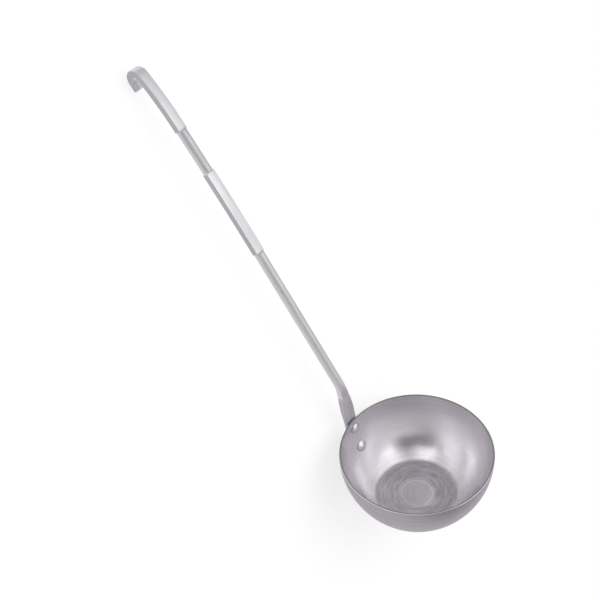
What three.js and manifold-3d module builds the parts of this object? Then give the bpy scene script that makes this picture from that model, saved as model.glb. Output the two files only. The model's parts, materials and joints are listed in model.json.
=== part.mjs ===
// Kitchen ladle: a spun bowl with a flat floor, a one-piece rod handle with pressed flats and a
// hanging hook, and the two rivets that join them. Millimetres.
//
// The pieces are drawn in the bowl's frame: z up from the rim plane, x out towards the handle.
// The finished ladle lies on its back, as it is put down on a table: it rests on the tang and on
// the back of the hook. Then +Z is up from the table, +X runs from the bowl to the hook, and the
// origin is on the table under the middle of the ladle's box.

import * as THREE from 'three';
import { mergeVertices } from 'three/addons/utils/BufferGeometryUtils.js';
import Module from 'manifold-3d';

// Bowl
const RIM_DIAMETER = 120; // outside of the rim
const SHEET = 1.5; // thickness of the metal
const RIM_EDGE = 0.4; // broken corners of the rim, which is cut off flat
const BOWL_DEPTH = 51; // from the rim plane down to the inside of the floor
const FLOOR_DIAMETER = 65; // where wall and floor meet inside
const FLOOR_FILLET = 5; // inside radius in that corner
const MARK_DIAMETER = 25; // round mark that the spinning pad leaves in the floor
const MARK_DEPTH = 0.3;
const MARK_EDGE = 0.8; // width of the mark's sloping edge

// Rod and its pressed flats
const ROD_DIAMETER = 8;
const FLAT_WIDTH = 8.5;
const FLAT_THICKNESS = 5.2;
const FLAT_CORNER = 0.7;
const FLAT_STEP = 1.2; // length of the step between a flat and the round rod

// Handle, from the neck to the tip of the hook, along its centre line
const HANDLE_LEAN = THREE.MathUtils.degToRad(58); // lower handle above the rim plane
const NECK_RADIUS = 45;
const LOWER_ROUND = 124;
const GRIP_FLAT = 70;
const GRIP_BOW = THREE.MathUtils.degToRad(2.3); // how far the grip bends back over its length
const UPPER_ROUND = 36.7;
const HOOK_FLAT = 46.7;
const HOOK_BOW = THREE.MathUtils.degToRad(9.4); // how far this flat bends back towards the hook
const HOOK_RADIUS = 5.6;
const HOOK_TURN = Math.PI - HOOK_BOW; // the tip points back along the handle
const HOOK_TIP = 7;
const TIP_CHAMFER = 0.6;

// Tang, the pressed end that lies on the bowl
const TANG_WIDTH = 12;
const TANG_THICKNESS = 3.2;
const TANG_CORNER = 0.7;
const TANG_MARGIN = 9; // from the lower rivet to the tang's end
const TANG_UPRIGHT = 28; // straight run from the upper rivet to the bend of the neck
const TANG_LENGTH = 31; // from the upper rivet to the shoulder, where the round rod begins
const TANG_TAPER = 12; // last part of that length, in which the tang narrows
const SHOULDER_WIDTH = 9.8;
const SHOULDER_THICKNESS = 5.6;
const SHOULDER_RAMP = 15; // in which the pressed front runs out into the round rod

// Rivets
const RIVET_SHANK = 5;
const RIVET_HEAD_DIAMETER = 9; // domed head inside the bowl
const RIVET_HEAD_HEIGHT = 2.2;
const RIVET_HEAD_EDGE = 0.4; // upright edge under the dome
const RIVET_TAIL_DIAMETER = 8.5; // tail outside, hammered into a countersink in the tang
const RIVET_TAIL_RECESS = 0.2; // how far the tail stays below the tang's outside
const RIVET_FROM_RIM = 8.2; // along the wall
const RIVET_PITCH = 19; // along the wall

// Clearances
const SEAT_GAP = 0.3; // between pieces that lie on each other
const HOLE_GAP = 0.3; // between a rivet and its hole, on the radius
const CUT_PAST = 2; // how far a cutter runs past the faces that it opens

// Facets
const BOWL_SEGMENTS = 72;
const WALL_STEPS = 12;
const FILLET_STEPS = 4;
const RIM_STEPS = 3;
const RIVET_SEGMENTS = 32;
const DOME_STEPS = 5;
const CORNER_POINTS = 6; // points in each of a section's four corners
const ARC_STEP = THREE.MathUtils.degToRad(9); // widest turn between two sections
const TANG_END_STEPS = 5;
const WELD = 1e-4;
const QUARTER = Math.PI / 2;

// The inside of the wall is one arc in the middle plane: it leaves the rim upright and ends in
// the corner of the floor. Its centre lies on the rim plane, just beyond the bowl's axis.
const RIM_INSIDE = RIM_DIAMETER / 2 - SHEET;
const WALL_INSET = RIM_INSIDE - FLOOR_DIAMETER / 2;
const WALL_RADIUS = (WALL_INSET ** 2 + BOWL_DEPTH ** 2) / (2 * WALL_INSET);
const WALL_CENTRE_X = RIM_INSIDE - WALL_RADIUS;

// Angles of the rivets below the rim, seen from the wall's centre. The tang follows the wall up to
// the upper rivet and runs straight on from there.
const RIVET_ANGLES = {
  rivet_upper: RIVET_FROM_RIM / WALL_RADIUS,
  rivet_lower: (RIVET_FROM_RIM + RIVET_PITCH) / WALL_RADIUS,
};
const TANG_END_ANGLE = RIVET_ANGLES.rivet_lower + TANG_MARGIN / WALL_RADIUS;

// Distances from the wall's centre, through wall and tang
const TANG_INSIDE = WALL_RADIUS + SHEET + SEAT_GAP;
const TANG_MIDDLE = TANG_INSIDE + TANG_THICKNESS / 2;
const TANG_OUTSIDE = TANG_INSIDE + TANG_THICKNESS;

const wasm = await Module();
wasm.setup();

// A closed geometry as a solid that can be cut
function toSolid(geometry) {
  const bare = geometry.clone();
  bare.deleteAttribute('normal');
  bare.deleteAttribute('uv');
  const merged = mergeVertices(bare, WELD);
  const corners = merged.index.array;
  const triangles = [];
  for (let i = 0; i < corners.length; i += 3) {
    const [a, b, c] = corners.slice(i, i + 3);
    if (a !== b && b !== c && c !== a) triangles.push(a, b, c);
  }
  return new wasm.Manifold(new wasm.Mesh({
    numProp: 3,
    vertProperties: new Float32Array(merged.attributes.position.array),
    triVerts: new Uint32Array(triangles),
  }));
}

function toGeometry(solid) {
  const mesh = solid.getMesh();
  const geometry = new THREE.BufferGeometry();
  geometry.setAttribute('position', new THREE.BufferAttribute(mesh.vertProperties, 3));
  geometry.setIndex(new THREE.BufferAttribute(mesh.triVerts, 1));
  geometry.computeVertexNormals();
  return geometry;
}

// Points of an arc in a profile, both ends included. Angles run up from the outward direction.
function arc(centreX, centreY, radius, from, to, steps) {
  const points = [];
  for (let i = 0; i <= steps; i += 1) {
    const angle = from + (to - from) * i / steps;
    points.push(new THREE.Vector2(
      centreX + radius * Math.cos(angle),
      centreY + radius * Math.sin(angle),
    ));
  }
  return points;
}

// A profile of radius and height turned about the z axis
function turned(profile, segments) {
  return new THREE.LatheGeometry(profile, segments).rotateX(QUARTER);
}

// Cutter for a rivet hole: straight through wall and tang, with a countersink in the tang's
// outside that opens at 45 degrees. Drawn like a rivet, below the wall's centre, then tipped.
function rivetHole(angle) {
  const hole = RIVET_SHANK / 2 + HOLE_GAP;
  const mouth = RIVET_TAIL_DIAMETER / 2 + HOLE_GAP + RIVET_TAIL_RECESS + CUT_PAST;
  const outer = -(TANG_OUTSIDE + CUT_PAST);
  const inner = -(WALL_RADIUS - CUT_PAST);
  const profile = [
    new THREE.Vector2(0, outer),
    new THREE.Vector2(mouth, outer),
    new THREE.Vector2(hole, outer + mouth - hole),
    new THREE.Vector2(hole, inner),
    new THREE.Vector2(0, inner),
  ];
  const cutter = turned(profile, RIVET_SEGMENTS);
  cutter.rotateY(angle - QUARTER);
  cutter.translate(WALL_CENTRE_X, 0, 0);
  return toSolid(cutter);
}

function withRivetHoles(geometry) {
  let solid = toSolid(geometry);
  for (const angle of Object.values(RIVET_ANGLES)) solid = solid.subtract(rivetHole(angle));
  return toGeometry(solid);
}

// Bowl: up the outside from the middle of the base, over the rim, and down the inside
function bowlGeometry() {
  const floor = -BOWL_DEPTH;
  const base = floor - SHEET;
  const filletZ = floor + FLOOR_FILLET;
  const filletX = WALL_CENTRE_X + Math.sqrt((WALL_RADIUS - FLOOR_FILLET) ** 2 - filletZ ** 2);
  const wallEnd = Math.atan2(filletZ, filletX - WALL_CENTRE_X);
  const outerWall = WALL_RADIUS + SHEET;
  const outerFillet = FLOOR_FILLET + SHEET;
  const profile = [
    new THREE.Vector2(0, base),
    ...arc(filletX, filletZ, outerFillet, -QUARTER, wallEnd, FILLET_STEPS),
    ...arc(WALL_CENTRE_X, 0, outerWall, wallEnd, 0, WALL_STEPS).slice(1),
    ...arc(RIM_INSIDE + SHEET - RIM_EDGE, 0, RIM_EDGE, 0, QUARTER, RIM_STEPS).slice(1),
    ...arc(RIM_INSIDE + RIM_EDGE, 0, RIM_EDGE, QUARTER, Math.PI, RIM_STEPS),
    ...arc(WALL_CENTRE_X, 0, WALL_RADIUS, 0, wallEnd, WALL_STEPS).slice(1),
    ...arc(filletX, filletZ, FLOOR_FILLET, wallEnd, -QUARTER, FILLET_STEPS).slice(1),
    new THREE.Vector2(MARK_DIAMETER / 2 + MARK_EDGE, floor),
    new THREE.Vector2(MARK_DIAMETER / 2, floor - MARK_DEPTH),
    new THREE.Vector2(0, floor - MARK_DEPTH),
  ];
  return withRivetHoles(turned(profile, BOWL_SEGMENTS));
}

// Centre line of the handle in the middle plane: straight runs and arcs, from the tang's end to
// the tip of the hook. Each run has its length and how far it turns to the front.
const SHOULDER_HEADING = QUARTER - RIVET_ANGLES.rivet_upper;
const NECK_TURN = SHOULDER_HEADING - HANDLE_LEAN;
const SEAT_TURN = TANG_END_ANGLE - RIVET_ANGLES.rivet_upper;
const RUNS = {
  seat: { length: TANG_MIDDLE * SEAT_TURN, turn: SEAT_TURN },
  upright: { length: TANG_UPRIGHT, turn: 0 },
  neck: { length: NECK_RADIUS * NECK_TURN, turn: -NECK_TURN },
  lower: { length: LOWER_ROUND, turn: 0 },
  grip: { length: GRIP_FLAT, turn: -GRIP_BOW },
  upper: { length: UPPER_ROUND, turn: 0 },
  flat: { length: HOOK_FLAT, turn: -HOOK_BOW },
  hook: { length: HOOK_RADIUS * HOOK_TURN, turn: -HOOK_TURN },
  tip: { length: HOOK_TIP, turn: 0 },
};

// Where each run begins and ends along the centre line
function runEnds() {
  const ends = {};
  let along = 0;
  for (const [name, run] of Object.entries(RUNS)) {
    ends[name] = { from: along, to: along + run.length };
    along += run.length;
  }
  return ends;
}

// Point and heading at a distance along the centre line
function handlePoint(distance) {
  let x = WALL_CENTRE_X + TANG_MIDDLE * Math.cos(TANG_END_ANGLE);
  let z = -TANG_MIDDLE * Math.sin(TANG_END_ANGLE);
  let heading = QUARTER - TANG_END_ANGLE;
  let left = distance;
  for (const run of Object.values(RUNS)) {
    const step = Math.min(left, run.length);
    const turn = run.turn * step / run.length;
    const chord = turn === 0 ? step : 2 * (step / turn) * Math.sin(turn / 2);
    x += chord * Math.cos(heading + turn / 2);
    z += chord * Math.sin(heading + turn / 2);
    heading += turn;
    left -= step;
  }
  return { x, z, heading };
}

// Sections along the handle: each is a rectangle with round corners, and a circle where its
// corners meet. Its middle may lie in front of the centre line or, below zero, behind it.
// Sections between two of these are blended.
function handleSections(ends) {
  const round = { width: ROD_DIAMETER, thickness: ROD_DIAMETER, corner: ROD_DIAMETER / 2 };
  const flat = { width: FLAT_WIDTH, thickness: FLAT_THICKNESS, corner: FLAT_CORNER };
  const tang = { width: TANG_WIDTH, thickness: TANG_THICKNESS, corner: TANG_CORNER };
  // The rod is pressed from the front only, so the shoulder's back is in line with the rod's back
  const pressed = { thickness: SHOULDER_THICKNESS, middle: (SHOULDER_THICKNESS - ROD_DIAMETER) / 2 };
  const shoulder = { ...pressed, width: SHOULDER_WIDTH, corner: TANG_CORNER };
  const ramp = { ...pressed, width: ROD_DIAMETER, corner: TANG_CORNER };
  const tip = {
    width: FLAT_WIDTH - 2 * TIP_CHAMFER,
    thickness: FLAT_THICKNESS - 2 * TIP_CHAMFER,
    corner: FLAT_CORNER,
  };
  const sections = [];
  const put = (at, section) => sections.push({ at, middle: 0, ...section });
  // The tang's end is round in plan
  const endRadius = TANG_WIDTH / 2;
  for (let i = 1; i <= TANG_END_STEPS; i += 1) {
    const angle = QUARTER * i / TANG_END_STEPS;
    const firstAngle = QUARTER / TANG_END_STEPS;
    const at = endRadius * (Math.cos(firstAngle) - Math.cos(angle));
    put(at, { ...tang, width: TANG_WIDTH * Math.sin(angle) });
  }
  // Above the rim its back leaves the line of the wall, so the tang thickens up to the shoulder
  const rimAt = ends.upright.from + RIVET_FROM_RIM;
  const shoulderAt = ends.upright.from + TANG_LENGTH;
  const taperAt = shoulderAt - TANG_TAPER;
  const share = (taperAt - rimAt) / (shoulderAt - rimAt);
  put(rimAt, tang);
  put(taperAt, {
    ...tang,
    thickness: THREE.MathUtils.lerp(TANG_THICKNESS, SHOULDER_THICKNESS, share),
    middle: pressed.middle * share,
  });
  put(shoulderAt, shoulder);
  put(shoulderAt + FLAT_STEP, ramp);
  put(shoulderAt + SHOULDER_RAMP, round);
  put(ends.grip.from - FLAT_STEP, round);
  put(ends.grip.from, flat);
  put(ends.grip.to, flat);
  put(ends.grip.to + FLAT_STEP, round);
  put(ends.flat.from - FLAT_STEP, round);
  put(ends.flat.from, flat);
  put(ends.tip.to - TIP_CHAMFER, flat);
  put(ends.tip.to, tip);
  return sections;
}

// All stations of the loft: the sections above, and more of them in the bends
function handleStations(ends, sections) {
  const places = sections.map((section) => section.at);
  for (const [name, run] of Object.entries(RUNS)) {
    const steps = Math.max(1, Math.ceil(Math.abs(run.turn) / ARC_STEP));
    for (let i = 1; i <= steps; i += 1) places.push(ends[name].from + run.length * i / steps);
  }
  places.sort((a, b) => a - b);
  return places.filter((place, i) => i === 0 || place - places[i - 1] > WELD);
}

function sectionAt(sections, at) {
  const next = Math.max(1, sections.findIndex((section) => section.at >= at - WELD));
  const before = sections[next - 1];
  const after = sections[next];
  const share = (at - before.at) / (after.at - before.at);
  const blend = (size) => THREE.MathUtils.lerp(before[size], after[size], share);
  return {
    width: blend('width'),
    thickness: blend('thickness'),
    corner: blend('corner'),
    middle: blend('middle'),
  };
}

// One ring of the loft, counter-clockwise as seen from further along the handle
function sectionRing(at, section) {
  const { x, z, heading } = handlePoint(at);
  const corner = Math.min(section.corner, section.width / 2, section.thickness / 2);
  const ring = [];
  for (let i = 0; i < 4 * CORNER_POINTS; i += 1) {
    const angle = QUARTER * (i + 0.5) / CORNER_POINTS;
    const side = Math.sign(Math.cos(angle)) * (section.width / 2 - corner);
    const front = Math.sign(Math.sin(angle)) * (section.thickness / 2 - corner);
    const across = side + corner * Math.cos(angle);
    const out = section.middle + front + corner * Math.sin(angle);
    ring.push([x - out * Math.sin(heading), across, z + out * Math.cos(heading)]);
  }
  return ring;
}

// Handle: a loft of rings along the centre line, with a flat cap at each end
function handleGeometry() {
  const ends = runEnds();
  const sections = handleSections(ends);
  const stations = handleStations(ends, sections);
  const positions = [];
  for (const at of stations) positions.push(...sectionRing(at, sectionAt(sections, at)).flat());
  const size = 4 * CORNER_POINTS;
  const last = stations.length - 1;
  const faces = [];
  for (let i = 0; i < size; i += 1) {
    const j = (i + 1) % size;
    for (let ring = 0; ring < last; ring += 1) {
      const low = ring * size;
      const high = low + size;
      faces.push(low + i, low + j, high + j);
      faces.push(low + i, high + j, high + i);
    }
  }
  for (const [ring, flip] of [[0, true], [last, false]]) {
    const { x, z } = handlePoint(stations[ring]);
    const centre = positions.length / 3;
    positions.push(x, 0, z);
    for (let i = 0; i < size; i += 1) {
      const a = ring * size + i;
      const b = ring * size + (i + 1) % size;
      faces.push(centre, flip ? b : a, flip ? a : b);
    }
  }
  const geometry = new THREE.BufferGeometry();
  geometry.setAttribute('position', new THREE.Float32BufferAttribute(positions, 3));
  geometry.setIndex(faces);
  return withRivetHoles(geometry);
}

// Rivet: turned about its own axis, with the wall's centre at its origin and the head upwards.
// The underside of the head follows the inside of the wall, and the tail fills the countersink.
function rivetGeometry() {
  const shank = RIVET_SHANK / 2;
  const head = RIVET_HEAD_DIAMETER / 2;
  const tail = RIVET_TAIL_DIAMETER / 2;
  const seat = WALL_RADIUS - SEAT_GAP;
  const headEdge = -Math.sqrt(seat ** 2 - head ** 2) + RIVET_HEAD_EDGE;
  const domeHeight = RIVET_HEAD_HEIGHT - RIVET_HEAD_EDGE;
  const domeRadius = (head ** 2 + domeHeight ** 2) / (2 * domeHeight);
  const domeCentre = headEdge + domeHeight - domeRadius;
  const domeFrom = Math.acos(head / domeRadius);
  const tailEnd = -(TANG_OUTSIDE - RIVET_TAIL_RECESS);
  const profile = [
    new THREE.Vector2(0, tailEnd),
    new THREE.Vector2(tail, tailEnd),
    new THREE.Vector2(shank, tailEnd + tail - shank),
    new THREE.Vector2(shank, -Math.sqrt(seat ** 2 - shank ** 2)),
    new THREE.Vector2(head, -Math.sqrt(seat ** 2 - head ** 2)),
    ...arc(0, domeCentre, domeRadius, domeFrom, QUARTER, DOME_STEPS),
  ];
  profile[profile.length - 1].x = 0;
  return toGeometry(toSolid(turned(profile, RIVET_SEGMENTS)));
}

function metal(color, roughness) {
  return new THREE.MeshStandardMaterial({ color, roughness, metalness: 1 });
}

function piece(name, geometry, material) {
  const mesh = new THREE.Mesh(geometry, material);
  mesh.name = name;
  return mesh;
}

// The tilt at which the bowl's back and the hook touch one table: the line under both is found
// by tipping the ladle until its lowest points at the two ends are level.
function restTilt(group) {
  const corner = new THREE.Vector3();
  const ends = { bowl: [], hook: [] };
  const { z: handleTop } = handlePoint(runEnds().flat.to);
  group.updateMatrixWorld(true);
  group.traverse((node) => {
    if (!node.isMesh) return;
    const place = node.geometry.attributes.position;
    for (let i = 0; i < place.count; i += 1) {
      corner.fromBufferAttribute(place, i).applyMatrix4(node.matrixWorld);
      const end = corner.z > handleTop / 2 ? ends.hook : ends.bowl;
      end.push({ x: corner.x, z: corner.z });
    }
  });
  const level = (point, tilt) => point.z * Math.cos(tilt) - point.x * Math.sin(tilt);
  const lowest = (points, tilt) => points.reduce((a, b) => (level(b, tilt) < level(a, tilt) ? b : a));
  let tilt = HANDLE_LEAN;
  for (let before = NaN; tilt !== before;) {
    before = tilt;
    const foot = lowest(ends.bowl, tilt);
    const heel = lowest(ends.hook, tilt);
    tilt = Math.atan2(heel.z - foot.z, heel.x - foot.x);
  }
  return tilt;
}

const ladle = new THREE.Group();
ladle.add(piece('bowl', bowlGeometry(), metal(0xb3afb6, 0.38)));
ladle.add(piece('handle', handleGeometry(), metal(0xc4c2c6, 0.34)));
for (const [name, angle] of Object.entries(RIVET_ANGLES)) {
  const rivet = piece(name, rivetGeometry(), metal(0xd6d4d8, 0.3));
  rivet.position.x = WALL_CENTRE_X;
  rivet.rotation.y = angle - QUARTER;
  ladle.add(rivet);
}

// Lie down on the table, over the origin
ladle.rotation.y = restTilt(ladle);
ladle.updateMatrixWorld(true);
const box = new THREE.Box3().setFromObject(ladle, true);
const middle = box.getCenter(new THREE.Vector3());
ladle.position.set(-middle.x, -middle.y, -box.min.z);

export default ladle;
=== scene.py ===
# %% [markdown]
# # A riveted soup ladle
# The ladle is four pieces of pale aluminium: a spun bowl, one long rod handle and two rivets.
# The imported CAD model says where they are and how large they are. This lesson makes the same
# pieces again with finer curves, gives them a worked metal finish, and lights them in a small
# studio.

import json
import math

import bmesh
import bpy
from mathutils import Matrix, Vector


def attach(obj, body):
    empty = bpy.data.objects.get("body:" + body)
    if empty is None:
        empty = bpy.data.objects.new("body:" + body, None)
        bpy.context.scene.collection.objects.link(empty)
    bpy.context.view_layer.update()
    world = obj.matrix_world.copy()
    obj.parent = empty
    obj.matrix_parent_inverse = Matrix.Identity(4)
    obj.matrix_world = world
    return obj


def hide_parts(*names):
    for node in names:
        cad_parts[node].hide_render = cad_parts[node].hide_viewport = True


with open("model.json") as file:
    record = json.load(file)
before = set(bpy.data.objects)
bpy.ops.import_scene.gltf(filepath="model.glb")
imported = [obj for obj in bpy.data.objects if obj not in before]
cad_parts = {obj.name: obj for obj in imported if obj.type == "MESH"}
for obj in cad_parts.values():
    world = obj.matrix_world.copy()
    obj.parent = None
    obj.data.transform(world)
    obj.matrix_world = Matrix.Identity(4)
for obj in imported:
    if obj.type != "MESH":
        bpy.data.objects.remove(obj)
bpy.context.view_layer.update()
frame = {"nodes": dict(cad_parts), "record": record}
print("CAD nodes:", sorted(frame["nodes"]))

# %% [markdown]
# ## Where the ladle lies
# A maker draws the bowl upright, on its own axis, and only then lays the ladle down. So every
# piece here is drawn in millimetres in the bowl's axes: z up from the rim, x out to the handle.
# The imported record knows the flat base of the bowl, its centre and the way it faces. Those two
# are enough to carry a drawn piece to the table, so no angle has to be typed in again.

# %% The bowl's axes on the table
MM = 0.001
SHEET = 1.5
BOWL_DEPTH = 51.0

base = next(mount for mount in frame["record"]["mounts"] if mount["name"] == "base")
bowl_axis = -Vector(base["axis"]).normalized()
across_axis = Vector((0.0, 1.0, 0.0))
handle_axis = across_axis.cross(bowl_axis)
rim_centre = Vector(base["pos_m"]) + bowl_axis * (BOWL_DEPTH + SHEET) * MM
bowl_turn = Matrix((handle_axis, across_axis, bowl_axis)).transposed()
ON_TABLE = Matrix.Translation(rim_centre) @ bowl_turn.to_4x4() @ Matrix.Scale(MM, 4)
print("rim centre on the table:", [round(value, 4) for value in rim_centre])

# %% [markdown]
# ## Colours and nodes
# Colours are written as the hex values that an eye would pick from a screen. Shaders work in
# linear light, so one function turns them. A second one adds a node, sets it and links it, so
# that each finish below reads as a list of its layers. A third one starts an empty finish. A Mix
# node has its sockets several times, for numbers, vectors and colours, so they go by number.

# %% Helpers for finishes
NUMBER_A, NUMBER_B = 2, 3
COLOUR_A, COLOUR_B = 6, 7
MIXED_COLOUR = 2


def linear(hex_colour):
    """An sRGB hex colour as linear red, green, blue and alpha, by the curve of that standard."""
    values = [int(hex_colour[i:i + 2], 16) / 255 for i in (0, 2, 4)]
    return [v / 12.92 if v <= 0.04045 else ((v + 0.055) / 1.055) ** 2.4 for v in values] + [1.0]


def add_node(tree, kind, sockets=None, **settings):
    """Add a node, set its settings, and fill its sockets with values or with links."""
    node = tree.nodes.new(kind)
    for name, value in settings.items():
        setattr(node, name, value)
    for socket, value in (sockets or {}).items():
        if isinstance(value, bpy.types.NodeSocket):
            tree.links.new(value, node.inputs[socket])
        else:
            node.inputs[socket].default_value = value
    return node


def new_finish(name):
    """A material without nodes, and the tree that takes them."""
    finish = bpy.data.materials.new(name)
    finish.use_nodes = True
    finish.node_tree.nodes.clear()
    return finish, finish.node_tree


print("linear mid grey:", [round(value, 3) for value in linear("808080")])

# %% [markdown]
# ## Spun aluminium, the bowl
# The bowl is pressed from sheet on a turning chuck and cleaned with an abrasive pad while it
# turns. That leaves a satin grey with fine rings round the axis, most of all on the floor. The
# rings could be modelled, but they are only hundredths of a millimetre deep, so they belong in
# the finish. Radius plus height grows steadily from the floor's middle to the rim, so noise
# along that one number gives rings that follow the bowl everywhere. The lower wall is polished,
# so the rings fade as they climb and the lights show in it. The upper wall stays satin. The
# outside is rougher, and its colour is darkened with painted shade. The floor gets painted shade
# too, patchy along short arcs. The mark in its middle was held and hardly turned; it gets less
# of that painted shade, and its edge a painted highlight ring.

# %% Spun aluminium: places on the bowl
spun_aluminium, tree = new_finish("spun_aluminium_satin")
coords = add_node(tree, "ShaderNodeTexCoord")
upright = add_node(tree, "ShaderNodeMapping", {
    "Vector": coords.outputs["Object"],
    "Location": rim_centre,
    "Rotation": bowl_turn.to_euler(),
    "Scale": (MM, MM, MM),
}, vector_type="TEXTURE")
flat = add_node(tree, "ShaderNodeVectorMath", {
    0: upright.outputs[0], 1: (1.0, 1.0, 0.0)}, operation="MULTIPLY")
radius = add_node(tree, "ShaderNodeVectorMath", {0: flat.outputs[0]}, operation="LENGTH")
height = add_node(tree, "ShaderNodeSeparateXYZ", {0: upright.outputs[0]})
profile_place = add_node(tree, "ShaderNodeMath", {
    0: radius.outputs["Value"], 1: height.outputs["Z"]}, operation="ADD")
print("places on the bowl:", len(tree.nodes), "nodes")

# %% Spun aluminium: rings
RING_FINE_MM = 0.8  # true marks are near 0.2 mm, drawn coarser so that they show
RING_BROAD_MM = 3.2  # bands where the pad pressed harder
CLOUD_MM = 16.0  # slow changes of polish
RING_FADE_MM = 9.0  # height above the floor at which the rings have faded
RING_ON_WALL = 0.18  # what is left of them there
MARK_DIAMETER = 25.0  # the round mark in the floor
MARK_EDGE_MM = 1.3  # half the width of the mark's edge
MARK_RINGS = 0.3  # what the mark has of the rings and arcs
BAND_LIGHT, BAND_DARK = 0.16, 0.36  # bands times clouds, from light metal to dark
SPUN_COLOUR = "ebe8ec"
SPUN_SHADE = "d7d4d8"

mark_radius = MARK_DIAMETER / 2
fine_rings = add_node(tree, "ShaderNodeTexNoise", {
    "W": profile_place.outputs[0], "Scale": 1 / RING_FINE_MM, "Detail": 2.0,
}, noise_dimensions="1D")
broad_rings = add_node(tree, "ShaderNodeTexNoise", {
    "W": profile_place.outputs[0], "Scale": 1 / RING_BROAD_MM, "Detail": 3.0,
}, noise_dimensions="1D")
clouds = add_node(tree, "ShaderNodeTexNoise", {
    "Vector": upright.outputs[0], "Scale": 1 / CLOUD_MM, "Detail": 3.0, "Roughness": 0.55})
tone = add_node(tree, "ShaderNodeMath", {
    0: broad_rings.outputs[0], 1: clouds.outputs[0]}, operation="MULTIPLY")
ring_strength = add_node(tree, "ShaderNodeMapRange", {
    "Value": height.outputs["Z"], "From Min": -BOWL_DEPTH, "From Max": RING_FADE_MM - BOWL_DEPTH,
    "To Min": 1.0, "To Max": RING_ON_WALL})
off_mark = add_node(tree, "ShaderNodeMapRange", {
    "Value": radius.outputs["Value"], "From Min": mark_radius - MARK_EDGE_MM,
    "From Max": mark_radius + MARK_EDGE_MM, "To Min": MARK_RINGS, "To Max": 1.0})
turned = add_node(tree, "ShaderNodeMath", {
    0: ring_strength.outputs[0], 1: off_mark.outputs[0]}, operation="MULTIPLY")
shade = add_node(tree, "ShaderNodeMapRange", {
    "Value": tone.outputs[0], "From Min": BAND_LIGHT, "From Max": BAND_DARK})
ring_shade = add_node(tree, "ShaderNodeMath", {
    0: shade.outputs[0], 1: turned.outputs[0]}, operation="MULTIPLY")
inside_colour = add_node(tree, "ShaderNodeMix", {
    "Factor": ring_shade.outputs[0],
    COLOUR_A: linear(SPUN_COLOUR), COLOUR_B: linear(SPUN_SHADE)}, data_type="RGBA")
print("with rings:", len(tree.nodes), "nodes")

# %% Spun aluminium: the floor and its mark
FLOOR_EDGE_MM = 1.6  # height over which the floor's painted shade gives way to the wall
FLOOR_PAINTED_SHADE = "c5c1c6"  # painted shade: the darkest of the floor, times the spun colour, for the darker surroundings it mirrors
MARK_EDGE_HIGHLIGHT = 0.45  # what the mark's edge keeps of the floor's painted shade, which draws a painted highlight ring
MARK_LOSS = 0.38  # what the mark loses of the floor's painted shade
ARC_LOSS = 0.44  # what the lightest arcs lose of the painted shade
ARC_WIDE_MM = 1.7
ARCS_AROUND = 16  # how many arcs follow each other on the way round
ARC_DARK, ARC_LIGHT = 0.35, 0.65  # the noise, from dark floor to the lightest arcs

on_floor = add_node(tree, "ShaderNodeMapRange", {
    "Value": height.outputs["Z"], "From Min": -BOWL_DEPTH, "From Max": FLOOR_EDGE_MM - BOWL_DEPTH,
    "To Min": 1.0, "To Max": 0.0}, interpolation_type="SMOOTHSTEP")
past_mark = add_node(tree, "ShaderNodeMath", {
    0: radius.outputs["Value"], 1: mark_radius}, operation="SUBTRACT")
from_edge = add_node(tree, "ShaderNodeMath", {0: past_mark.outputs[0]}, operation="ABSOLUTE")
# painted highlight: a lighter ring along the mark's edge
highlight_ring = add_node(tree, "ShaderNodeMapRange", {
    "Value": from_edge.outputs[0], "From Min": 0.0, "From Max": MARK_EDGE_MM,
    "To Min": MARK_EDGE_HIGHLIGHT, "To Max": 1.0}, interpolation_type="SMOOTHSTEP")
around = add_node(tree, "ShaderNodeVectorMath", {0: flat.outputs[0]}, operation="NORMALIZE")
outwards = add_node(tree, "ShaderNodeMath", {
    0: radius.outputs["Value"], 1: 1 / ARC_WIDE_MM}, operation="MULTIPLY")
lifted = add_node(tree, "ShaderNodeCombineXYZ", {"Z": outwards.outputs[0]})
arc_turn = ARCS_AROUND / (2 * math.pi)
arc_place = add_node(tree, "ShaderNodeVectorMath", {
    0: around.outputs[0], 1: (arc_turn, arc_turn, arc_turn), 2: lifted.outputs[0],
}, operation="MULTIPLY_ADD")
arcs = add_node(tree, "ShaderNodeTexNoise", {
    "Vector": arc_place.outputs[0], "Scale": 1.0, "Detail": 3.0, "Roughness": 0.6})
arc_shade_gaps = add_node(tree, "ShaderNodeMapRange", {
    "Value": arcs.outputs[0], "From Min": ARC_DARK, "From Max": ARC_LIGHT,
    "To Min": 0.0, "To Max": ARC_LOSS})
# the floor's painted shade, patchy at random along the arcs and lighter in the mark
shade_lost = add_node(tree, "ShaderNodeMix", {
    "Factor": off_mark.outputs[0], NUMBER_A: MARK_LOSS, NUMBER_B: arc_shade_gaps.outputs[0],
}, data_type="FLOAT")
shade_left = add_node(tree, "ShaderNodeMath", {
    0: 1.0, 1: shade_lost.outputs[0]}, operation="SUBTRACT")
patchy_shade = add_node(tree, "ShaderNodeMath", {
    0: on_floor.outputs[0], 1: shade_left.outputs[0]}, operation="MULTIPLY")
floor_shade_share = add_node(tree, "ShaderNodeMath", {
    0: patchy_shade.outputs[0], 1: highlight_ring.outputs[0]}, operation="MULTIPLY")
# painted shade laid over the floor's colour
floor_shaded_colour = add_node(tree, "ShaderNodeMix", {
    "Factor": floor_shade_share.outputs[0],
    COLOUR_A: inside_colour.outputs[MIXED_COLOUR], COLOUR_B: linear(FLOOR_PAINTED_SHADE),
}, data_type="RGBA", blend_type="MULTIPLY")
print("with the floor:", len(tree.nodes), "nodes")

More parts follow.
